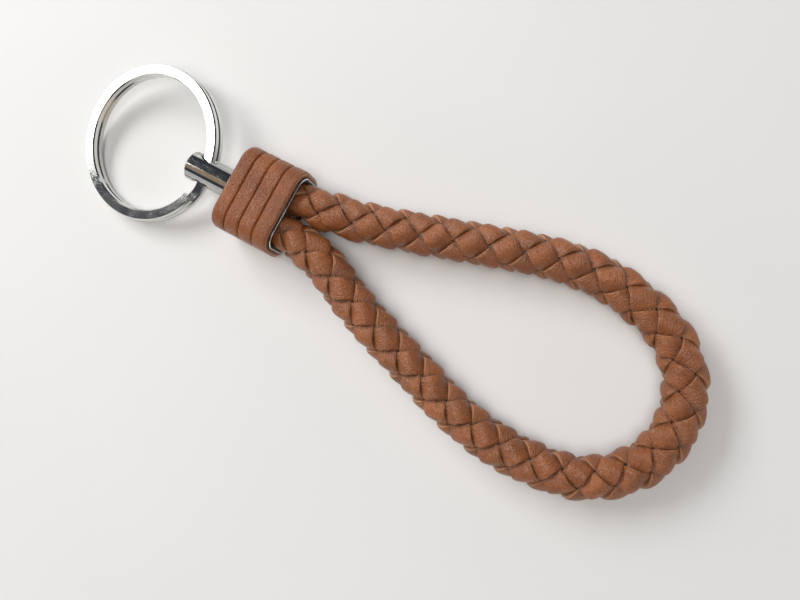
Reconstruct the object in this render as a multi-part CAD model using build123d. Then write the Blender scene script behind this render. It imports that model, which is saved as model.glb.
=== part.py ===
from build123d import *
import math
import os

# Wristlet keychain: a braided cord loop held in a leather-wrapped ferrule, with a
# swivelling post and a split ring at the other end. All sizes are millimetres.
# It lies flat on a surface at z = 0. X runs along the object from the split ring
# to the loop, and the origin is under the middle of the hardware's footprint.
# The model is laid out with x = 0 at the collar's ring-side face, and moved once, at
# the end, to that origin.

# ---- driving dimensions -----------------------------------------------------------

# Split ring: a flat wire wound twice
ring_od = 30.8
ring_band = 2.1           # radial width of the wire
wire_height = 1.34        # height of one turn
turn_gap = 0.06           # air between the two turns
wire_bevel = 0.25
upper_end_angle = -24.0   # free end of the upper turn, seen from the post
lower_end_angle = 10.0    # free end of the lower turn
step_start = 6.0          # the wire steps from the upper to the lower turn here...
step_end = -20.0          # ...to here, inside the post's eye

# Swivel post: a round pin with a cross-drilled eye and a riveted spigot
post_diameter = 5.7
eye_to_tip = 3.5
eye_to_collar = 7.3       # eye axis to the collar's ring-side face
tip_bevel = 0.4
eye_bevel = 0.25
spigot_diameter = 3.4
rivet_diameter = 4.9
rivet_height = 0.9
washer_thickness = 0.7
post_roll = 10.0          # how far the post is turned about its own axis, at rest

# Collar: an oval metal ferrule in a grooved leather wrap
collar_width = 16.8
collar_height = 10.8
collar_length = 12.3
side_flat = 3.4           # straight stretch of the collar's narrow sides
leather_thickness = 1.1
leather_lip = 1.9         # how far the wrap folds in over each end of the ferrule's face
first_rib = 3.1           # ring-side rib, which carries the folded edge
groove_count = 3
groove_width = 0.4
groove_depth = 0.5
edge_round = 0.9          # rolled ring-side edge of the leather
ferrule_wall = 0.6
ferrule_floor = 1.2
rim_stand = 0.3           # bare metal rim beyond the leather, at the mouth

# Braided cord, whose ends are squeezed oval and bound with thread
cord_diameter = 7.6
core_diameter = 4.4
whipping_thickness = 0.3
whipping_length = 6.5

# Clearances
running_fit = 0.05        # spigot in its hole, shoulder and washer on the ferrule floor
press_gap = 0.02          # pieces that are glued or pressed together
leg_gap = 0.3             # between the two legs of the cord at the mouth
window_gap = 0.3          # leather's folded edge round the post
eye_gap = 0.29            # round the ring's two turns as they turn in the eye
washer_gap = 0.5          # washer to the ferrule's flat sides
end_side_gap = 0.05       # bound cord end to its neighbour and to the ferrule's rounded side
end_top_gap = 0.15        # bound cord end to the ferrule's flat sides
end_setback = 1.15        # rivet to the cord's ends
fill_gap = 0.5            # adhesive kept off the turning rivet
core_gap = 0.05           # braided sleeve on its core

# ---- places that follow from them --------------------------------------------------

axis_z = collar_height / 2
collar_corner = (collar_height - side_flat) / 2
ring_height = 2 * wire_height + turn_gap
turn_pitch = wire_height + turn_gap
ring_mid_radius = (ring_od - ring_band) / 2
wire_sagitta = (post_diameter / 2) ** 2 / (2 * ring_mid_radius)
eye_offset = ring_mid_radius - wire_sagitta / 2    # eye axis to the ring's centre
wire_reach = math.hypot((ring_band + wire_sagitta) / 2, ring_height / 2)
eye_diameter = 2 * (wire_reach + eye_gap)
eye_centre = Vector(-eye_to_collar, 0, axis_z)

ferrule_start = leather_thickness
ferrule_end = collar_length + rim_stand
ferrule_width = collar_width - 2 * leather_thickness
ferrule_height = collar_height - 2 * leather_thickness
ferrule_corner = collar_corner - leather_thickness
bore_width = ferrule_width - 2 * ferrule_wall
bore_height = ferrule_height - 2 * ferrule_wall
bore_corner = ferrule_corner - ferrule_wall
floor_inside = ferrule_start + ferrule_floor
washer_diameter = bore_height - 2 * washer_gap
rivet_top = floor_inside + running_fit + washer_thickness + rivet_height
end_start = rivet_top + end_setback
end_offset = bore_width / 4
end_width = bore_width / 2 - 2 * (whipping_thickness + end_side_gap)
end_height = bore_height - 2 * (whipping_thickness + end_top_gap)
end_corner = 0.45 * min(end_width, end_height)

cord_z = cord_diameter / 2
leg_offset = (cord_diameter + leg_gap) / 2

# The cord's route, from the upper leg's mouth to the lower leg's. X is counted from the
# ferrule's rim, and the loop lies on the surface once it has come down from the mouth.
route_from_rim = [
    (0.0, leg_offset, axis_z),
    (7.3, leg_offset, axis_z),
    (18.8, 6.7, cord_z),
    (34.3, 11.4, cord_z),
    (49.8, 15.6, cord_z),
    (62.2, 14.5, cord_z),
    (71.7, 10.2, cord_z),
    (76.7, 1.4, cord_z),
    (75.7, -8.8, cord_z),
    (68.7, -16.3, cord_z),
    (58.8, -18.9, cord_z),
    (45.8, -18.3, cord_z),
    (32.3, -13.8, cord_z),
    (18.8, -9.6, cord_z),
    (7.3, -leg_offset, axis_z),
    (0.0, -leg_offset, axis_z),
]
arc_share = 0.45          # part of the shorter run that each arc's tangent takes


# ---- helpers -----------------------------------------------------------------------

def across_x(x):
    """Work plane across the object at x, its own x along Y and its own y along Z."""
    return Plane(origin=(x, 0, axis_z), x_dir=(0, 1, 0), z_dir=(1, 0, 0))


def oval_bar(x_start, x_end, width, height, corner, y=0.0):
    """Bar of rounded oval section along X, centred on the collar's axis."""
    face = across_x(x_start) * Pos(y, 0) * RectangleRounded(width, height, corner)
    return extrude(face, amount=x_end - x_start, dir=(1, 0, 0))


def round_bar(x_start, x_end, diameter):
    """Cylinder along X on the collar's axis."""
    return extrude(across_x(x_start) * Circle(diameter / 2), amount=x_end - x_start, dir=(1, 0, 0))


# ---- split ring --------------------------------------------------------------------

def wire_section(angle, z):
    """The ring wire's bevelled section, standing in the radial plane at an angle."""
    plane = Plane(
        origin=(0, 0, z),
        x_dir=(math.cos(math.radians(angle)), math.sin(math.radians(angle)), 0),
        z_dir=(math.sin(math.radians(angle)), -math.cos(math.radians(angle)), 0),
    )
    section = chamfer(Rectangle(ring_band, wire_height).vertices(), wire_bevel)
    return plane * Pos(ring_mid_radius, 0) * section


def turn(angle_from, angle_to, z):
    """Flat part of one turn, counted anticlockwise between two angles."""
    arc = angle_to - angle_from
    return revolve(wire_section(angle_from, z), axis=Axis.Z, revolution_arc=arc)


def wire_step(z_high, z_low):
    """The stretch where the wire steps down from the upper turn to the lower."""
    sections = []
    count = 10
    for i in range(count + 1):
        part = i / count
        drop = part * part * (3 - 2 * part)
        angle = step_start + (step_end - step_start) * part
        sections.append(wire_section(angle, z_high + (z_low - z_high) * drop))
    return loft(sections)


def ring_tilt():
    """Angle in degrees by which the ring's far side drops to rest on the surface."""
    roll = math.radians(post_roll)
    low = 0.0
    high = math.radians(45)
    for _ in range(60):
        tilt = (low + high) / 2
        lowest = axis_z - (ring_height / 2) * math.cos(roll) * math.cos(tilt)
        lowest -= eye_offset * math.sin(tilt) * math.cos(roll)
        lowest -= ring_od / 2 * math.hypot(math.sin(roll), math.cos(roll) * math.sin(tilt))
        if lowest > 0:
            low = tilt
        else:
            high = tilt
    return math.degrees(low)


def split_ring():
    """Flat wire wound twice, hung in the post's eye and resting on the surface."""
    z_high = turn_pitch / 2
    z_low = -turn_pitch / 2
    upper = turn(step_start, 360 + upper_end_angle, z_high)
    lower = turn(lower_end_angle, 360 + step_end, z_low)
    ring = upper + wire_step(z_high, z_low) + lower
    ring = Pos(-eye_offset, 0, 0) * ring
    return Pos(*eye_centre) * Rot(X=post_roll) * Rot(Y=-ring_tilt()) * ring


# ---- swivel post -------------------------------------------------------------------

def swivel_post():
    """Polished pin with an eye across it and a spigot riveted inside the ferrule."""
    tip = -eye_to_collar - eye_to_tip
    shoulder = ferrule_start - running_fit
    pin = round_bar(tip, shoulder, post_diameter)
    tip_edge = pin.edges().filter_by(GeomType.CIRCLE).sort_by(Axis.X)[0]
    pin = chamfer(tip_edge, tip_bevel)
    eye = Cylinder(eye_diameter / 2, 2 * post_diameter, rotation=(90, 0, 0))
    pin -= Pos(-eye_to_collar, 0, axis_z) * eye
    for side in (-1, 1):
        mouth = Cone(eye_diameter / 2, eye_diameter / 2 + 2 * eye_bevel, 2 * eye_bevel)
        turned = Rot(X=-90 * side) * mouth
        pin -= Pos(-eye_to_collar, side * post_diameter / 2, axis_z) * turned
    spigot = round_bar(shoulder, rivet_top, spigot_diameter)
    rivet = round_bar(rivet_top - rivet_height, rivet_top, rivet_diameter)
    rivet_edge = rivet.edges().filter_by(GeomType.CIRCLE).sort_by(Axis.X)[-1]
    rivet = fillet(rivet_edge, rivet_height * 0.7)
    post = pin + spigot + rivet
    about_axis = Pos(0, 0, axis_z) * Rot(X=post_roll) * Pos(0, 0, -axis_z)
    return about_axis * post


def retaining_washer():
    """Washer pressed on the spigot under the rivet, which holds the post in."""
    start = floor_inside + running_fit
    disc = round_bar(start, start + washer_thickness - press_gap, washer_diameter)
    return disc - round_bar(start - 1, rivet_top, spigot_diameter + 2 * press_gap)


# ---- collar ------------------------------------------------------------------------

def ferrule():
    """Oval metal cup, open towards the loop, with the spigot's hole in its floor."""
    cup = oval_bar(ferrule_start, ferrule_end, ferrule_width, ferrule_height, ferrule_corner)
    cup -= oval_bar(floor_inside, ferrule_end + 1, bore_width, bore_height, bore_corner)
    return cup - round_bar(0, floor_inside + 1, spigot_diameter + 2 * running_fit)


def leather_wrap():
    """Leather band glued round the ferrule, with pressed grooves and a folded edge."""
    wrap = oval_bar(0, collar_length, collar_width, collar_height, collar_corner)
    wrap = fillet(wrap.faces().sort_by(Axis.X)[0].edges(), edge_round)
    wrap -= oval_bar(
        ferrule_start,
        collar_length + 1,
        ferrule_width + 2 * press_gap,
        ferrule_height + 2 * press_gap,
        ferrule_corner + press_gap,
    )
    window_width = collar_width - 2 * (leather_thickness + leather_lip)
    window_height = post_diameter + 2 * window_gap
    window_corner = min(window_width, window_height) / 2 * 0.98
    wrap -= oval_bar(-1, ferrule_start + 1, window_width, window_height, window_corner)
    rib = (collar_length - first_rib) / groove_count
    for i in range(groove_count):
        x = first_rib + i * rib
        cut = oval_bar(x, x + groove_width, collar_width + 2, collar_height + 2, collar_corner + 1)
        cut -= oval_bar(
            x - 1,
            x + groove_width + 1,
            collar_width - 2 * groove_depth,
            collar_height - 2 * groove_depth,
            collar_corner - groove_depth,
        )
        wrap -= cut
    return wrap


# ---- cord --------------------------------------------------------------------------

def cord_route():
    """The route's points, and an arc radius for each corner between its runs."""
    points = [Vector(x + ferrule_end, y, z) for x, y, z in route_from_rim]
    radii = []
    for before, here, after in zip(points, points[1:], points[2:]):
        run_in = here - before
        run_out = after - here
        half_turn = math.radians(run_in.get_angle(run_out)) / 2
        shorter = min(run_in.length, run_out.length)
        radii.append(arc_share * shorter / math.tan(half_turn))
    return points, radii


def cord_tube(path, outer, inner=0.0):
    """Round tube, or a solid round bar, swept along the cord's path."""
    start = Plane(origin=path @ 0, z_dir=path % 0)
    face = start * Circle(outer / 2)
    if inner:
        face -= start * Circle(inner / 2)
    return sweep(face, path=path)


def bound_end(side, grow, x_start, x_end):
    """A cord end's squeezed section, grown by an amount, inside the ferrule's rounded bore."""
    bar = oval_bar(
        x_start,
        x_end,
        end_width + 2 * grow,
        end_height + 2 * grow,
        end_corner + grow,
        side * end_offset,
    )
    inset = whipping_thickness + end_side_gap - grow
    return bar & oval_bar(
        x_start,
        x_end,
        bore_width - 2 * inset,
        bore_height - 2 * inset,
        bore_corner - inset,
    )


def cord_end(side):
    """Squeezed end of the cord inside the ferrule."""
    return bound_end(side, 0, end_start, ferrule_end)


def end_whipping(side):
    """Bound thread round one cord end, which keeps the braid from opening."""
    outer = bound_end(side, whipping_thickness, end_start, end_start + whipping_length)
    return outer - bound_end(side, press_gap, end_start - 1, ferrule_end)


def adhesive_fill():
    """Set adhesive that fills the ferrule round and behind the two bound ends."""
    fill = oval_bar(
        rivet_top + fill_gap,
        end_start + whipping_length,
        bore_width - 2 * press_gap,
        bore_height - 2 * press_gap,
        bore_corner - press_gap,
    )
    for side in (-1, 1):
        fill -= bound_end(side, whipping_thickness + press_gap, end_start - press_gap, ferrule_end)
    return fill


# ---- assembly ----------------------------------------------------------------------

points, radii = cord_route()
cord_path = FilletPolyline(*points, radius=radii)

hardware = {
    "split_ring": split_ring(),
    "swivel_post": swivel_post(),
    "retaining_washer": retaining_washer(),
    "ferrule": ferrule(),
    "leather_wrap": leather_wrap(),
    "end_whipping_upper": end_whipping(1),
    "end_whipping_lower": end_whipping(-1),
    "cord_end_upper": cord_end(1),
    "cord_end_lower": cord_end(-1),
    "adhesive_fill": adhesive_fill(),
}
cord = {
    "braided_sleeve": cord_tube(cord_path, cord_diameter, core_diameter + 2 * core_gap),
    "cord_core": cord_tube(cord_path, core_diameter),
}

footprint_start = hardware["split_ring"].bounding_box().min.X
shift = -(footprint_start + ferrule_end) / 2

os.makedirs("parts", exist_ok=True)
for name, solid in {**hardware, **cord}.items():
    export_step(Pos(shift, 0, 0) * solid, f"parts/{name}.step")

sleeve_section = math.pi / 4 * (cord_diameter**2 - (core_diameter + 2 * core_gap) ** 2)
sleeve_volume = cord["braided_sleeve"].volume
print("shift", round(shift, 3), "ring tilt", round(ring_tilt(), 2))
print("eye", [round(v, 3) for v in (eye_centre + Vector(shift, 0, 0))])
print("mouth x", round(ferrule_end + shift, 3), "cord length", round(cord_path.length, 1))
print("arc radii", [round(r, 1) for r in radii])
print("sleeve volume", round(sleeve_volume, 1), "of", round(sleeve_section * cord_path.length, 1))
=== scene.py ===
import math

import bpy
import numpy as np
from mathutils import Matrix, Quaternion, Vector


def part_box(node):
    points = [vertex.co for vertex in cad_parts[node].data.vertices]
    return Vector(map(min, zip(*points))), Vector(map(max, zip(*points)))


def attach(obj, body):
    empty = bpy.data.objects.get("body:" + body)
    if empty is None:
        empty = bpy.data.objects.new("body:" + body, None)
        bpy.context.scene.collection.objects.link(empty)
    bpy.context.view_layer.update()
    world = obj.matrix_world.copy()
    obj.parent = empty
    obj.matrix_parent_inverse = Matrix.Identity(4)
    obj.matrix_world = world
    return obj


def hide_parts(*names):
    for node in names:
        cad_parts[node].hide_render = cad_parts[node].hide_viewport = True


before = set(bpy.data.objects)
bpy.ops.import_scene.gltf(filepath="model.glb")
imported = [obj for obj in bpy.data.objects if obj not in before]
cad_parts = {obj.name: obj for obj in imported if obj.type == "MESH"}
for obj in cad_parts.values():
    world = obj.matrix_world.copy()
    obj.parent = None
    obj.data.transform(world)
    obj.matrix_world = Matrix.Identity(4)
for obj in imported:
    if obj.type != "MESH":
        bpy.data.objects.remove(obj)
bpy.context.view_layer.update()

MM = 0.001

# ---- sizes and places, from the frame where it has them -----------------------------------

ferrule_low, ferrule_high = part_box("ferrule")
wrap_low, wrap_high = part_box("leather_wrap")
rim_x = ferrule_high.x
axis_z = (wrap_low.z + wrap_high.z) / 2

leg_offset = 3.3 * MM         # the two legs side by side in the mouth
lying_z = 3.95 * MM

# The cord's route, as in the CAD source: X from the ferrule's rim, in metres.
route_from_rim = [
    (0.0, leg_offset, axis_z),
    (0.0073, leg_offset + 0.0004, 0.0052),
    (0.0188, 0.0067, lying_z),
    (0.0343, 0.0114, lying_z),
    (0.0498, 0.0156, lying_z),
    (0.0622, 0.0145, lying_z),
    (0.0717, 0.0102, lying_z),
    (0.0767, 0.0014, lying_z),
    (0.0757, -0.0088, lying_z),
    (0.0687, -0.0163, lying_z),
    (0.0588, -0.0189, lying_z),
    (0.0458, -0.0183, lying_z),
    (0.0323, -0.0138, lying_z),
    (0.0188, -0.0096, lying_z),
    (0.0073, -leg_offset - 0.0004, 0.0052),
    (0.0, -leg_offset, axis_z),
]


def from_rim(x, y, z):
    return Vector((rim_x + x, y, z))


# ---- camera -------------------------------------------------------------------------------

camera_place = from_rim(0.05707, -0.00905, 0.13656)
camera_target = from_rim(0.02426, -0.00426, 0.0)
picture_up = Vector((-0.4815, 0.8764, 0.0))


def make_camera():
    """Nearly overhead, leaning from the loop's side towards the split ring."""
    data = bpy.data.cameras.new("camera")
    data.sensor_width = 36.0
    data.lens = 34.2
    data.clip_start = 0.005
    data.clip_end = 20.0
    camera = bpy.data.objects.new("camera", data)
    bpy.context.scene.collection.objects.link(camera)
    back = (camera_place - camera_target).normalized()
    right = picture_up.cross(back).normalized()
    up = back.cross(right)
    turn = Matrix((right, up, back)).transposed().to_4x4()
    camera.matrix_world = Matrix.Translation(camera_place) @ turn
    bpy.context.scene.camera = camera


make_camera()


# ---- the cord's centreline ----------------------------------------------------------------

def cord_centreline():
    """Points along the smooth NURBS spline of the cord's route."""
    curve = bpy.data.curves.new("cord_route", "CURVE")
    curve.dimensions = "3D"
    spline = curve.splines.new("NURBS")
    spline.points.add(len(route_from_rim) - 1)
    for point, (x, y, z) in zip(spline.points, route_from_rim):
        point.co = (rim_x + x, y, z, 1.0)
    spline.order_u = 3
    spline.use_endpoint_u = True
    spline.resolution_u = 24
    holder = bpy.data.objects.new("cord_route", curve)
    bpy.context.scene.collection.objects.link(holder)
    bpy.context.view_layer.update()
    line = bpy.data.meshes.new_from_object(holder)
    points = np.array([v.co for v in line.vertices], float)
    bpy.data.objects.remove(holder)
    return points


class Centreline:
    """The cord's line by arc length, with an upright frame at each point."""

    def __init__(self, points):
        steps = np.linalg.norm(np.diff(points, axis=0), axis=1)
        keep = np.r_[True, steps > 1e-9]
        self.points = points[keep]
        steps = np.linalg.norm(np.diff(self.points, axis=0), axis=1)
        self.along = np.r_[0.0, np.cumsum(steps)]
        self.length = self.along[-1]
        tangent = np.gradient(self.points, self.along, axis=0)
        self.tangent = tangent / np.linalg.norm(tangent, axis=1)[:, None]

    def interpolate(self, s, values):
        return np.stack([np.interp(s, self.along, values[:, i]) for i in range(3)], -1)

    def at(self, s):
        """Place, left and up vectors at arc lengths s, carried on straight past the ends."""
        inside = np.clip(s, 0, self.length)
        place = self.interpolate(inside, self.points)
        tangent = self.interpolate(inside, self.tangent)
        tangent /= np.linalg.norm(tangent, axis=-1)[..., None]
        place = place + tangent * (s - inside)[..., None]
        left = np.cross([0.0, 0.0, 1.0], tangent)
        left /= np.linalg.norm(left, axis=-1)[..., None]
        up = np.cross(tangent, left)
        return place, left, up


line = Centreline(cord_centreline())


# ---- helpers ------------------------------------------------------------------------------

def new_mesh(name, verts, faces):
    """A smooth-shaded piece, linked to the scene."""
    mesh = bpy.data.meshes.new(name)
    mesh.from_pydata(np.asarray(verts).tolist(), [], faces)
    mesh.validate()
    mesh.polygons.foreach_set("use_smooth", [True] * len(mesh.polygons))
    piece = bpy.data.objects.new(name, mesh)
    bpy.context.scene.collection.objects.link(piece)
    return piece


def grid_faces(rows, columns):
    """Quads between rows of points; each row is a closed ring."""
    faces = []
    for r in range(rows - 1):
        here, there = r * columns, (r + 1) * columns
        for c in range(columns):
            d = (c + 1) % columns
            faces.append((here + c, here + d, there + d, there + c))
    return faces


def end_caps(rows, columns):
    """One face over each end of a tube of rows."""
    return [tuple(range(columns)), tuple(range((rows - 1) * columns, rows * columns))]


# ---- braid --------------------------------------------------------------------------------

# Six strips, three winding each way, cross in rows along the cord and in six columns
# round it. The plait is drawn tighter round the far bend, and twists by one column from
# leg to leg.
strips_each_way = 3
column_step = math.pi / strips_each_way
row_places = [                # (row number, mm along the cord from the mouth)
    (-2, -1.7), (0, 4.7), (4, 17.4), (8, 30.0), (12, 42.6), (16, 54.6), (19, 63.6), (23, 75.2),
    (27, 86.5), (31, 97.6), (35, 108.6), (39, 119.8), (43, 131.3), (47, 143.3), (51, 155.7),
    (55, 168.2), (58, 177.6),
]
column_twist = [              # (mm along the cord, angle of the first column from the top)
    (0, -90), (11, -84), (18, -81), (24, -77), (30, -75), (36, -73), (43, -72), (50, -66),
    (56, -60), (61, -54), (66, -46), (71, -41), (76, -36), (82, -26), (88, -23), (94, -27),
    (100, -29), (106, -25), (112, -18), (118, -12), (125, -13), (131, -16), (137, -12),
    (143, -10), (150, -10), (156, -8), (162, 2), (168, 8), (175, 12),
]
row_smoothing = 4.0           # rows
twist_smoothing = 8.0         # mm
first_row, last_row = -2.0, 58.0
row_sample = 0.07             # rows between a strip's cross-sections

strand_share = 0.905          # strip width as a share of the spacing between strips
strand_thickness = 1.0 * MM
weave_height = 0.55 * MM
crease_depth = 0.25 * MM
crown = 0.05 * MM
mid_radius = 2.87 * MM
under_shade_level, under_shade_range = 0.55, 0.75      # painted shade: how dark a strip gets where it goes under

# Unevenness of the hand-drawn plait: how much, and how many cross-sections apart the
# noise has its knots. Waver is in strip spacings.
waver_amount, waver_knots = 0.012, 15
lift_amount, lift_knots = 0.04 * MM, 20
lean_amount, lean_knots = 0.06 * MM, 17

# Near the mouth the legs are squeezed together.
squeeze_length = 7.0 * MM
squeeze_sideways = 0.17
squeeze_upwards = 0.06
inside_mouth = 3.0 * MM       # how far the filler shows running into the ferrule

# Leather grain: strip_place holds mm along and across the strip, and a number that sets
# each strip's grain apart from the others'.
grain_per_row = 4.7
grain_half_width = 2.2
grain_step_index = 10.0
grain_step_direction = 40.0
wrap_grain = 70.0

core_radius = 1.85 * MM
core_ply = 0.07 * MM
core_lay = 2.2 * MM
core_around, core_rows = 24, 400


def smooth_table(table, reach):
    """A table of pairs as finely spaced, smoothed values."""
    x, y = np.array(table, float).T
    fine = np.linspace(x[0] - reach, x[-1] + reach, 600)
    slope_in = (y[1] - y[0]) / (x[1] - x[0])
    slope_out = (y[-1] - y[-2]) / (x[-1] - x[-2])
    values = np.interp(fine, x, y)
    values = np.where(fine < x[0], y[0] + slope_in * (fine - x[0]), values)
    values = np.where(fine > x[-1], y[-1] + slope_out * (fine - x[-1]), values)
    width = 2 * int(reach / (fine[1] - fine[0]) / 2) + 1
    smooth = np.convolve(values, np.ones(width) / width, mode="same")
    half = width // 2
    return fine[half:-half], smooth[half:-half]


rows_at = smooth_table(row_places, row_smoothing)
twist_at = smooth_table(column_twist, twist_smoothing)


def place_of_row(row):
    """Distance along the cord, in metres, of a row number that may be fractional."""
    return np.interp(row, *rows_at) * MM


def first_column_at(s):
    """Angle of the first column from the top, s metres along the cord."""
    return np.radians(np.interp(s / MM, *twist_at))


def strip_section():
    """Points round a strip's section: half-width share, thickness share, cut edge or not."""
    across = [-0.93, -0.82, -0.6, -0.3, 0.0, 0.3, 0.6, 0.82, 0.93]
    top = [(u, 0.5 - 0.06 * (abs(u) > 0.9), 0.0) for u in across]
    right = [(0.985, 0.36, 1.0), (1.0, 0.12, 1.0), (1.0, -0.36, 1.0)]
    bottom = [(u, -0.5, 0.0) for u in (0.9, 0.4, 0.0, -0.4, -0.9)]
    left = [(-u, depth, cut) for u, depth, cut in reversed(right)]
    return top + right + bottom + left


def smooth_noise(rng, count, step):
    """Gentle random waviness along a strip: count samples, one knot every step samples."""
    knots = rng.standard_normal(count // step + 4)
    return np.interp(np.arange(count) / step, np.arange(len(knots)), knots)


def add_attribute(piece, name, kind, values):
    field = piece.data.attributes.new(name, kind, "POINT")
    key = "vector" if kind == "FLOAT_VECTOR" else "value"
    field.data.foreach_set(key, np.ascontiguousarray(values, np.float32).ravel())


def strand(name, direction, index, rng):
    """One flat leather strip of the plait, going over one and under one."""
    section = strip_section()
    share, depth, cut = (np.array(column) for column in zip(*section))
    rows = int((last_row - first_row) / row_sample)
    travel = np.linspace(first_row, last_row, rows) + index
    waver = smooth_noise(rng, rows, waver_knots) * waver_amount
    lift = smooth_noise(rng, rows, lift_knots) * lift_amount
    lean = smooth_noise(rng, rows, lean_knots) * lean_amount
    q, u = np.meshgrid(travel, share, indexing="ij")
    side = index + waver[:, None] + u * strand_share / 2
    s = place_of_row(q - side)
    angle = first_column_at(s) + direction * column_step * (q + side)
    phase = math.pi * (q + index)
    over = np.cos(phase) * direction
    height = weave_height * over - crease_depth * np.sin(phase) ** 2
    radius = mid_radius + height - crown * u**2 + depth * strand_thickness
    radius = radius + lift[:, None] + lean[:, None] * u
    place, left, up = line.at(s)
    from_mouth = np.minimum(s, line.length - s)
    squeezed = np.clip(1 - from_mouth / squeeze_length, 0, 1) ** 2
    sideways = radius * np.sin(angle) * (1 - squeeze_sideways * squeezed)
    upwards = radius * np.cos(angle) * (1 - squeeze_upwards * squeezed)
    verts = place + left * sideways[..., None] + up * upwards[..., None]
    columns = len(section)
    faces = grid_faces(rows, columns)
    if direction > 0:
        faces = [f[::-1] for f in faces]
    piece = new_mesh(name, verts.reshape(-1, 3), faces + end_caps(rows, columns))
    along = q * grain_per_row
    across = u * grain_half_width
    number = np.full_like(u, grain_step_index * index + grain_step_direction * direction)
    add_attribute(piece, "strip_place", "FLOAT_VECTOR", np.stack([along, across, number], -1))
    add_attribute(piece, "cut_edge", "FLOAT", np.broadcast_to(cut, u.shape))
    # Painted shade: the strip darkens where it passes under its neighbours.
    add_attribute(piece, "shade_and_seam", "FLOAT", np.clip(under_shade_level - under_shade_range * over, 0, 1))
    return piece


def core_piece():
    """Twisted cotton filler inside the braid."""
    lengths = np.linspace(-inside_mouth, line.length + inside_mouth, core_rows)
    turns = np.linspace(0, 2 * math.pi, core_around, endpoint=False)
    s, angle = np.meshgrid(lengths, turns, indexing="ij")
    radius = core_radius + core_ply * np.abs(np.cos(3 * (angle + s / core_lay)))
    place, left, up = line.at(s)
    sideways = (radius * np.sin(angle))[..., None]
    upwards = (radius * np.cos(angle))[..., None]
    verts = place + left * sideways + up * upwards
    faces = grid_faces(core_rows, core_around) + end_caps(core_rows, core_around)
    return new_mesh("cord_filler", verts.reshape(-1, 3), faces)


def braid():
    rng = np.random.default_rng(7)
    strands = []
    for direction, way in ((1, "left"), (-1, "right")):
        for index in range(strips_each_way):
            name = f"braid_strand_{way}_{index + 1}"
            strands.append(strand(name, direction, index, rng))
    return strands


strands = braid()
core = core_piece()


# ---- leather wrap -------------------------------------------------------------------------

leather_thickness = 1.1 * MM
collar_corner = 3.7 * MM
fold_width = 3.0 * MM         # folded leather on the ring-side face, from the wrap's sides
fold_lift = 0.3 * MM          # how far the fold's inner edge is rounded over
post_window = 6.3 * MM        # height of the opening that the fold leaves round the post
edge_round = 1.0 * MM
mouth_round = 0.38 * MM
first_rib = 3.1 * MM
rib_count = 4
groove_depth = 0.48 * MM
groove_shoulder = [           # (mm from the groove's middle, share of its depth)
    (0.06, 1.0), (0.11, 0.66), (0.18, 0.30), (0.32, 0.11), (0.62, 0.03),
]
seam_depth = 0.22 * MM
seam_points = [0.0, 0.10 * MM, 0.28 * MM, 0.55 * MM]
seam_lip = 0.05 * MM          # points nearer the middle than this are the seam's bottom
seam_shade = 0.3 * MM         # how far the dark of the seam reaches
smallest_corner = 0.4 * MM

bead_radius = 0.15 * MM
bead_setback = 0.05 * MM
bead_segments = 12


def rounded_outline(width, height, corner, seam_dip=0.0):
    """Points round a rounded rectangle in Y and Z, from the seam under the middle."""
    half_w, half_h = width / 2 - corner, height / 2 - corner
    underside = seam_points + list(np.linspace(half_w / 4, half_w, 6)[1:])
    side = np.linspace(-half_h, half_h, 7)
    arc = np.linspace(0, math.pi / 2, 17)[1:-1]
    points = [(y, -height / 2 + (seam_dip if y < seam_lip else 0.0)) for y in underside]
    points += [(half_w + corner * math.sin(a), -half_h - corner * math.cos(a)) for a in arc]
    points += [(width / 2, z) for z in side]
    points += [(half_w + corner * math.cos(a), half_h + corner * math.sin(a)) for a in arc]
    points += [(y, height / 2) for y in np.linspace(half_w, 0, 10)]
    mirrored = [(-y, z) for y, z in points[1:-1]][::-1]
    return np.array(points + mirrored)


def rib_profile(length):
    """Distance from the ring-side face, and inset, along the wrap's outer side."""
    rib = (length - first_rib) / (rib_count - 1)
    starts = [0.0] + [first_rib + i * rib for i in range(rib_count - 1)]
    ends = starts[1:] + [length]
    profile = [(edge_round * (1 - math.cos(a)), edge_round * (1 - math.sin(a)))
               for a in np.linspace(0, math.pi / 2, 9)]
    for start, end in zip(starts, ends):
        if start > 0:
            profile += [(start + x * MM, groove_depth * depth) for x, depth in groove_shoulder]
        profile.append(((start + end) / 2, 0.0))
        if end < length:
            profile += [(end - x * MM, groove_depth * depth)
                        for x, depth in groove_shoulder[::-1]]
    profile += [(length - mouth_round * (1 - math.sin(a)), mouth_round * (1 - math.cos(a)))
                for a in np.linspace(0, math.pi / 2, 6)]
    profile += [(length, leather_thickness - 0.1 * MM), (length - 0.6 * MM, leather_thickness)]
    return profile


def wrap_rows(width, height, length):
    """The leather's cross-sections: depth in X, outline, and place across the strip."""
    window = rounded_outline(width - 2 * fold_width, post_window, post_window / 2 * 0.95)
    front = rounded_outline(width - 2 * edge_round, height - 2 * edge_round,
                            collar_corner - edge_round)
    rows = [(leather_thickness, window, -fold_width),
            (0.25 * MM, window, -fold_width + fold_lift)]
    for t in (0.06, 0.2, 0.5, 0.8):
        rows.append((0.04 * MM * (1 - t), window * (1 - t) + front * t, -fold_width * (1 - t)))
    for x, inset in rib_profile(length):
        corner = max(collar_corner - inset, smallest_corner)
        shape = rounded_outline(width - 2 * inset, height - 2 * inset, corner, seam_depth)
        rows.append((x, shape, x))
    return rows


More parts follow.
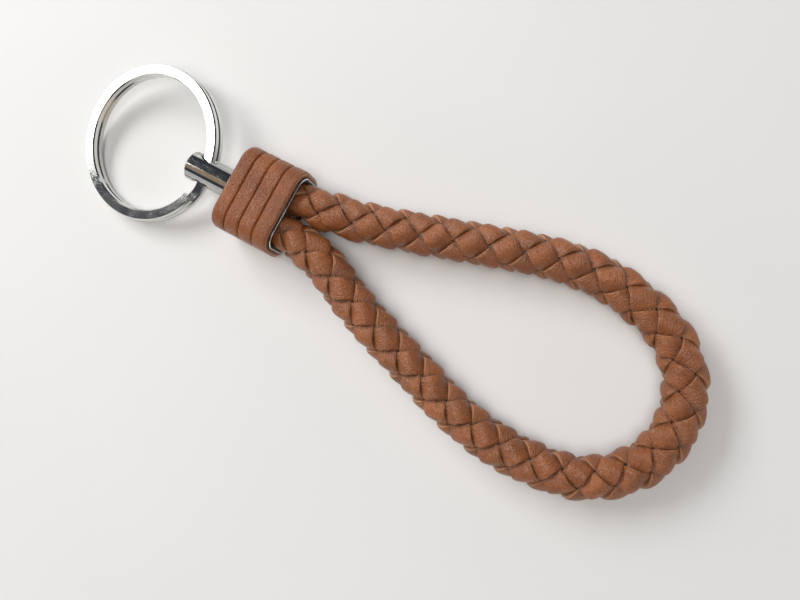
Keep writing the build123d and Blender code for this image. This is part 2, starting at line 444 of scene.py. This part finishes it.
def wrap_skin():
    """The leather: folded edge, four ribs, cut edge at the mouth, seam underneath."""
    width = wrap_high.y - wrap_low.y
    height = wrap_high.z - wrap_low.z
    length = wrap_high.x - wrap_low.x
    centre = (wrap_low.y + wrap_high.y) / 2
    rounded = rounded_outline(width, height, collar_corner)
    turn = np.r_[0, np.cumsum(np.linalg.norm(np.diff(rounded, axis=0), axis=1))]
    rows = wrap_rows(width, height, length)
    verts, places, seams, cuts = [], [], [], []
    for k, (x, shape, across) in enumerate(rows):
        cut = across >= length - 0.05 * MM and k >= len(rows) - 4
        for i, (y, z) in enumerate(shape):
            verts.append((wrap_low.x + x, centre + y, axis_z + z))
            places.append((turn[i] / MM, across / MM, wrap_grain))
            near = min(turn[i], turn[-1] - turn[i]) / seam_shade
            seams.append(max(0.0, 1.0 - near) if across > -fold_width else 0.0)
            cuts.append(1.0 if cut else 0.0)
    piece = new_mesh("wrap_skin", verts, grid_faces(len(rows), len(rounded)))
    add_attribute(piece, "strip_place", "FLOAT_VECTOR", np.array(places))
    # The seam underneath is darkened with the strips' painted-shade colour.
    add_attribute(piece, "shade_and_seam", "FLOAT", np.array(seams))
    add_attribute(piece, "cut_edge", "FLOAT", np.array(cuts))
    return piece


def rim_bead():
    """Bright rolled edge round the ferrule's mouth."""
    width = ferrule_high.y - ferrule_low.y - 2 * bead_radius
    height = ferrule_high.z - ferrule_low.z - 2 * bead_radius
    corner = collar_corner - leather_thickness
    path = rounded_outline(width, height, corner - bead_radius)
    outward = rounded_outline(width + 2 * bead_radius, height + 2 * bead_radius, corner) - path
    verts = []
    for a in np.linspace(0, 2 * math.pi, bead_segments + 1)[:-1]:
        for (y, z), (dy, dz) in zip(path, outward):
            verts.append((rim_x - bead_setback + bead_radius * math.cos(a),
                          y + dy * math.sin(a), axis_z + z + dz * math.sin(a)))
    around = len(path)
    faces = grid_faces(bead_segments, around)
    last = (bead_segments - 1) * around
    faces += [(last + c, last + (c + 1) % around, (c + 1) % around, c) for c in range(around)]
    return new_mesh("rim_bead", verts, faces)


bead = rim_bead()
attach(bead, "collar")
skin = wrap_skin()
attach(skin, "collar")
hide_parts("leather_wrap")
for piece in strands + [core]:
    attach(piece, "collar")
for piece in strands:
    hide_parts("braided_sleeve")
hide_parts("cord_core")


# ---- materials ----------------------------------------------------------------------------

class Nodes:
    """Short ways to build a material's nodes."""

    def __init__(self, name):
        self.material = bpy.data.materials.new(name)
        self.material.use_nodes = True
        self.tree = self.material.node_tree
        self.shader = self.tree.nodes["Principled BSDF"]

    def add(self, kind, **settings):
        node = self.tree.nodes.new(kind)
        for key, value in settings.items():
            setattr(node, key, value)
        return node

    def join(self, source, target):
        self.tree.links.new(source, target)

    def feed(self, socket, value):
        if isinstance(value, bpy.types.NodeSocket):
            self.join(value, socket)
        elif isinstance(value, tuple) and len(value) == 3 and socket.type == "RGBA":
            socket.default_value = (*value, 1)
        else:
            socket.default_value = value

    def attribute(self, name, output="Fac"):
        return self.add("ShaderNodeAttribute", attribute_name=name).outputs[output]

    def millimetres(self):
        """The piece's own coordinates in the shared frame, in mm."""
        source = self.add("ShaderNodeTexCoord").outputs["Object"]
        return self.stretch(source, (1000, 1000, 1000))

    def stretch(self, source, scale, rotation=(0, 0, 0)):
        node = self.add("ShaderNodeMapping")
        node.inputs["Scale"].default_value = scale
        node.inputs["Rotation"].default_value = rotation
        self.join(source, node.inputs["Vector"])
        return node.outputs["Vector"]

    def noise(self, vector, scale, detail=2.0, roughness=0.5, distortion=0.0):
        node = self.add("ShaderNodeTexNoise")
        self.join(vector, node.inputs["Vector"])
        for key, value in (("Scale", scale), ("Detail", detail), ("Roughness", roughness),
                           ("Distortion", distortion)):
            node.inputs[key].default_value = value
        return node.outputs["Fac"]

    def cells(self, vector, scale):
        node = self.add("ShaderNodeTexVoronoi", feature="SMOOTH_F1")
        self.join(vector, node.inputs["Vector"])
        node.inputs["Scale"].default_value = scale
        return node.outputs["Distance"]

    def ramp(self, source, low, high, start=0.0, end=1.0):
        """Map a value from start..end to low..high."""
        node = self.add("ShaderNodeMapRange")
        for key, value in (("From Min", start), ("From Max", end),
                           ("To Min", low), ("To Max", high)):
            node.inputs[key].default_value = value
        self.join(source, node.inputs["Value"])
        return node.outputs["Result"]

    def math(self, operation, first, second):
        node = self.add("ShaderNodeMath", operation=operation)
        self.feed(node.inputs[0], first)
        self.feed(node.inputs[1], second)
        return node.outputs[0]

    def scaled(self, value, share):
        return self.math("MULTIPLY", value, share)

    def mix(self, factor, first, second):
        node = self.add("ShaderNodeMix", data_type="RGBA")
        self.feed(node.inputs["Factor"], factor)
        self.feed(node.inputs[6], first)
        self.feed(node.inputs[7], second)
        return node.outputs[2]

    def bump(self, height, distance, strength=1.0):
        node = self.add("ShaderNodeBump")
        node.inputs["Strength"].default_value = strength
        node.inputs["Distance"].default_value = distance
        self.join(height, node.inputs["Height"])
        return node.outputs["Normal"]

    def surface(self, **inputs):
        for key, value in inputs.items():
            self.feed(self.shader.inputs[key.replace("_", " ")], value)
        return self.material


def grained_leather(nodes, vector, tan, dark, fine):
    """Colour, roughness and height of a creased, finely grained leather, with painted shade in
    the crease lines; vector in mm.
    """
    creases = nodes.noise(nodes.stretch(vector, (0.55, 2.0, 1.0)), scale=1.7 * fine,
                          detail=3.0, roughness=0.55, distortion=0.6)
    grain = nodes.cells(nodes.stretch(vector, (1.0, 1.5, 1.0)), scale=3.4 * fine)
    clouds = nodes.noise(vector, scale=0.22, detail=3.0, roughness=0.55)
    shade = nodes.ramp(clouds, 0.0, 1.0, start=0.32, end=0.70)
    colour = nodes.mix(shade, dark, tan)
    # Painted shade: the crease lines are darkened.
    lines = nodes.ramp(creases, 0.32, 0.0, start=0.36, end=0.50)
    colour = nodes.mix(lines, colour, tuple(0.42 * c for c in dark))
    height = nodes.math("SUBTRACT", nodes.scaled(creases, 1.3), nodes.scaled(grain, 0.7))
    roughness = nodes.ramp(creases, 0.36, 0.25, start=0.35, end=0.65)
    return colour, roughness, height


def strip_leather(name, tan, dark, fine=1.0):
    """Leather laid out by the strip_place attribute, with pale cut edges, and painted shade
    where strips go under and along the wrap's seam.
    """
    # Painted shade colours for the grain and for the cut faces.
    painted_shade_colour = (0.040, 0.014, 0.008)
    cut_colour, cut_edge_shade_colour = (0.46, 0.25, 0.14), (0.050, 0.018, 0.010)
    nodes = Nodes(name)
    vector = nodes.attribute("strip_place", "Vector")
    colour, roughness, height = grained_leather(nodes, vector, tan, dark, fine)
    # Painted shade: darkens where a strip goes under its neighbours, and along the wrap's
    # seam.
    shade_and_seam = nodes.ramp(nodes.attribute("shade_and_seam"), 0.0, 0.80, start=0.25, end=0.85)
    colour = nodes.mix(shade_and_seam, colour, painted_shade_colour)
    cut = nodes.ramp(nodes.attribute("cut_edge"), 0.0, 0.75, start=0.35, end=0.95)
    shaded_cut_colour = nodes.mix(shade_and_seam, cut_colour, cut_edge_shade_colour)
    colour = nodes.mix(cut, colour, shaded_cut_colour)
    return nodes.surface(Base_Color=colour, Roughness=roughness, Specular_IOR_Level=0.5,
                         Normal=nodes.bump(height, distance=0.00019))


def polished_nickel():
    """Bright plating, gently wavy, with fine scratches and smears."""
    nodes = Nodes("polished_nickel")
    vector = nodes.millimetres()
    smears = nodes.noise(vector, scale=0.35, detail=4.0, roughness=0.6)
    scratches = nodes.noise(nodes.stretch(vector, (6.0, 0.5, 0.5), (0, 0, 0.6)), scale=1.0,
                            detail=3.0, roughness=0.6)
    waves = nodes.noise(vector, scale=0.45, roughness=0.4)
    colour = nodes.mix(smears, (0.83, 0.82, 0.79), (0.70, 0.69, 0.65))
    ripple = nodes.noise(vector, scale=4.5)
    fine = nodes.math("ADD", nodes.scaled(ripple, 0.07), nodes.scaled(scratches, 0.05))
    height = nodes.math("ADD", nodes.scaled(waves, 0.14), fine)
    return nodes.surface(Base_Color=colour, Metallic=1.0,
                         Roughness=nodes.ramp(smears, 0.06, 0.15, start=0.3, end=0.7),
                         Normal=nodes.bump(height, distance=0.00010, strength=0.6))


def dark_chrome():
    """Smoked plating with faint marks of turning round the post."""
    nodes = Nodes("dark_chrome")
    vector = nodes.millimetres()
    smears = nodes.noise(vector, scale=0.6, detail=3.0, roughness=0.55)
    turned = nodes.noise(nodes.stretch(vector, (9.0, 0.3, 0.3)), scale=1.0)
    colour = nodes.mix(smears, (0.60, 0.59, 0.57), (0.46, 0.45, 0.43))
    return nodes.surface(Base_Color=colour, Metallic=1.0,
                         Roughness=nodes.ramp(smears, 0.05, 0.12, start=0.3, end=0.7),
                         Normal=nodes.bump(turned, distance=0.000004, strength=0.5))


def ferrule_steel():
    """Bright on the ring side; painted shade over the rest, nearly black and less metallic,
    for the dark mouth.
    """
    nodes = Nodes("ferrule_steel")
    source = nodes.add("ShaderNodeTexCoord").outputs["Object"]
    split = nodes.add("ShaderNodeSeparateXYZ")
    nodes.join(source, split.inputs["Vector"])
    front = nodes.ramp(split.outputs["X"], 1.0, 0.0,
                       start=ferrule_low.x + 0.0006, end=ferrule_low.x + 0.0009)
    mottle = nodes.noise(nodes.millimetres(), scale=1.4, detail=3.0, roughness=0.6)
    # Painted shade: past the ring-side end the steel is darkened almost to black.
    painted_mouth_shade = nodes.mix(mottle, (0.030, 0.028, 0.027), (0.075, 0.070, 0.066))
    colour = nodes.mix(front, painted_mouth_shade, (0.72, 0.70, 0.66))
    return nodes.surface(Base_Color=colour, Metallic=nodes.ramp(front, 0.6, 1.0),
                         Roughness=nodes.ramp(mottle, 0.30, 0.50, start=0.3, end=0.7),
                         Normal=nodes.bump(mottle, distance=0.00003, strength=0.5))


def brushed_steel():
    nodes = Nodes("washer_steel")
    vector = nodes.millimetres()
    lines = nodes.noise(nodes.stretch(vector, (1.0, 7.0, 7.0)), scale=1.0, detail=3.0,
                        roughness=0.6)
    colour = nodes.mix(lines, (0.50, 0.49, 0.47), (0.66, 0.65, 0.62))
    return nodes.surface(Base_Color=colour, Metallic=1.0,
                         Roughness=nodes.ramp(lines, 0.22, 0.42, start=0.3, end=0.7),
                         Normal=nodes.bump(lines, distance=0.00004, strength=0.5))


def twisted_yarn(name, light, dark, scale):
    """Fine diagonal fibres."""
    nodes = Nodes(name)
    vector = nodes.stretch(nodes.millimetres(), (1.0, 5.0, 1.0), (0.4, 0.3, 0.7))
    fibres = nodes.noise(vector, scale=scale, detail=4.0, roughness=0.6, distortion=0.3)
    colour = nodes.mix(fibres, dark, light)
    return nodes.surface(Base_Color=colour, Roughness=nodes.ramp(fibres, 0.95, 0.75),
                         Sheen_Weight=0.2,
                         Normal=nodes.bump(fibres, distance=0.0002, strength=0.8))


def clear_glue():
    nodes = Nodes("clear_glue")
    ripples = nodes.noise(nodes.millimetres(), scale=0.9, detail=3.0, distortion=0.4)
    colour = nodes.mix(ripples, (0.30, 0.21, 0.10), (0.42, 0.32, 0.18))
    return nodes.surface(Base_Color=colour, Roughness=nodes.ramp(ripples, 0.18, 0.35),
                         Normal=nodes.bump(ripples, distance=0.0003, strength=0.6))


def pale_floor():
    nodes = Nodes("pale_floor")
    vector = nodes.millimetres()
    tone = nodes.noise(vector, scale=0.02)
    fleck = nodes.noise(vector, scale=0.8)
    colour = nodes.mix(tone, (0.80, 0.80, 0.785), (0.84, 0.84, 0.83))
    return nodes.surface(Base_Color=colour, Roughness=nodes.ramp(fleck, 0.75, 0.9),
                         Specular_IOR_Level=0.2,
                         Normal=nodes.bump(fleck, distance=0.00002, strength=0.4))


def dress(node, material):
    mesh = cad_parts[node].data
    mesh.materials.clear()
    mesh.materials.append(material)


plait = strip_leather("plait_leather", tan=(0.382, 0.126, 0.040), dark=(0.245, 0.079, 0.025))
for piece in strands:
    piece.data.materials.append(plait)
cotton = twisted_yarn("cotton_filler", light=(0.62, 0.55, 0.44), dark=(0.38, 0.32, 0.24),
                      scale=1.6)
core.data.materials.append(cotton)
nickel = polished_nickel()
bead.data.materials.append(nickel)
dress("split_ring", nickel)
dress("swivel_post", dark_chrome())
dress("retaining_washer", brushed_steel())
dress("ferrule", ferrule_steel())
wrap = strip_leather("wrap_leather", tan=(0.358, 0.111, 0.028), dark=(0.238, 0.069, 0.018),
                     fine=1.15)
skin.data.materials.append(wrap)
dress("leather_wrap", wrap)
thread = twisted_yarn("bound_thread", light=(0.30, 0.20, 0.12), dark=(0.12, 0.07, 0.04),
                      scale=2.2)
dress("end_whipping_upper", thread)
dress("end_whipping_lower", thread)
dress("cord_end_upper", wrap)
dress("cord_end_lower", wrap)
dress("adhesive_fill", clear_glue())


# ---- floor and light ----------------------------------------------------------------------

floor_half = 2
daylight = (1.0, 0.995, 0.985)

# The room that the metal mirrors: colours, and the directions where they end (X, Y and Z
# of a unit vector, each edge from its first number to its second).
wall_colour = (0.05, 0.055, 0.07)
warm_wall_colour = (0.44, 0.34, 0.25)
low_wall_colour = (0.72, 0.73, 0.74)
ceiling_colour = (1.00, 1.02, 1.06)
warm_wall_edges = (("Y", -0.06, -0.16), ("Y", -0.66, -0.52), ("X", -0.62, -0.54))
low_wall_edge = ("Z", 0.38, 0.28)
ceiling_edge = ("Z", 0.915, 0.985)


def floor():
    h = floor_half
    mesh = bpy.data.meshes.new("floor")
    mesh.from_pydata([(-h, -h, 0), (h, -h, 0), (h, h, 0), (-h, h, 0)], [], [(0, 1, 2, 3)])
    piece = bpy.data.objects.new("floor", mesh)
    bpy.context.scene.collection.objects.link(piece)
    piece.data.materials.append(pale_floor())


def area_light(name, place, target, size, power, colour=daylight, roll=0.0):
    data = bpy.data.lights.new(name, "AREA")
    data.shape = "RECTANGLE"
    data.size, data.size_y = size
    data.energy = power
    data.color = colour
    lamp = bpy.data.objects.new(name, data)
    bpy.context.scene.collection.objects.link(lamp)
    lamp.location = place
    direction = Vector(target) - Vector(place)
    lamp.rotation_mode = "QUATERNION"
    aim = direction.to_track_quat("-Z", "Y")
    lamp.rotation_quaternion = aim @ Quaternion((0, 0, 1), roll)


def room():
    """A dim room with a light ceiling, a warm wall and a pale band along the floor."""
    world = bpy.data.worlds.new("room")
    bpy.context.scene.world = world
    world.use_nodes = True
    tree = world.node_tree
    where = tree.nodes.new("ShaderNodeTexCoord")
    split = tree.nodes.new("ShaderNodeSeparateXYZ")
    tree.links.new(where.outputs["Generated"], split.inputs["Vector"])

    def step(axis, start, end):
        node = tree.nodes.new("ShaderNodeMapRange")
        node.interpolation_type = "SMOOTHSTEP"
        node.inputs["From Min"].default_value = start
        node.inputs["From Max"].default_value = end
        tree.links.new(split.outputs[axis], node.inputs["Value"])
        return node.outputs["Result"]

    def both(first, second):
        node = tree.nodes.new("ShaderNodeMath")
        node.operation = "MULTIPLY"
        tree.links.new(first, node.inputs[0])
        tree.links.new(second, node.inputs[1])
        return node.outputs[0]

    def blend(factor, first, second):
        node = tree.nodes.new("ShaderNodeMix")
        node.data_type = "RGBA"
        for socket, value in ((node.inputs[6], first), (node.inputs[7], second)):
            if isinstance(value, tuple):
                socket.default_value = (*value, 1)
            else:
                tree.links.new(value, socket)
        tree.links.new(factor, node.inputs["Factor"])
        return node.outputs[2]

    first, second, third = (step(*edge) for edge in warm_wall_edges)
    walls = blend(both(both(first, second), third), wall_colour, warm_wall_colour)
    walls = blend(step(*low_wall_edge), walls, low_wall_colour)
    sky = blend(step(*ceiling_edge), walls, ceiling_colour)
    tree.links.new(sky, tree.nodes["Background"].inputs["Color"])


floor()
area_light("window", place=(-0.40, 0.082, 0.375), target=(0.03, 0, 0),
           size=(0.44, 0.22), power=2.5, roll=0.35)
area_light("side_window", place=(-0.10, 0.33, 0.44), target=(0.02, 0, 0),
           size=(0.24, 0.26), power=0.15)
area_light("ceiling_lamp", place=(0.16, -0.10, 0.60), target=(0.09, -0.05, 0),
           size=(0.30, 0.30), power=1.05, colour=(1.0, 1.0, 1.0))
room()
bpy.context.scene.view_settings.view_transform = "Standard"
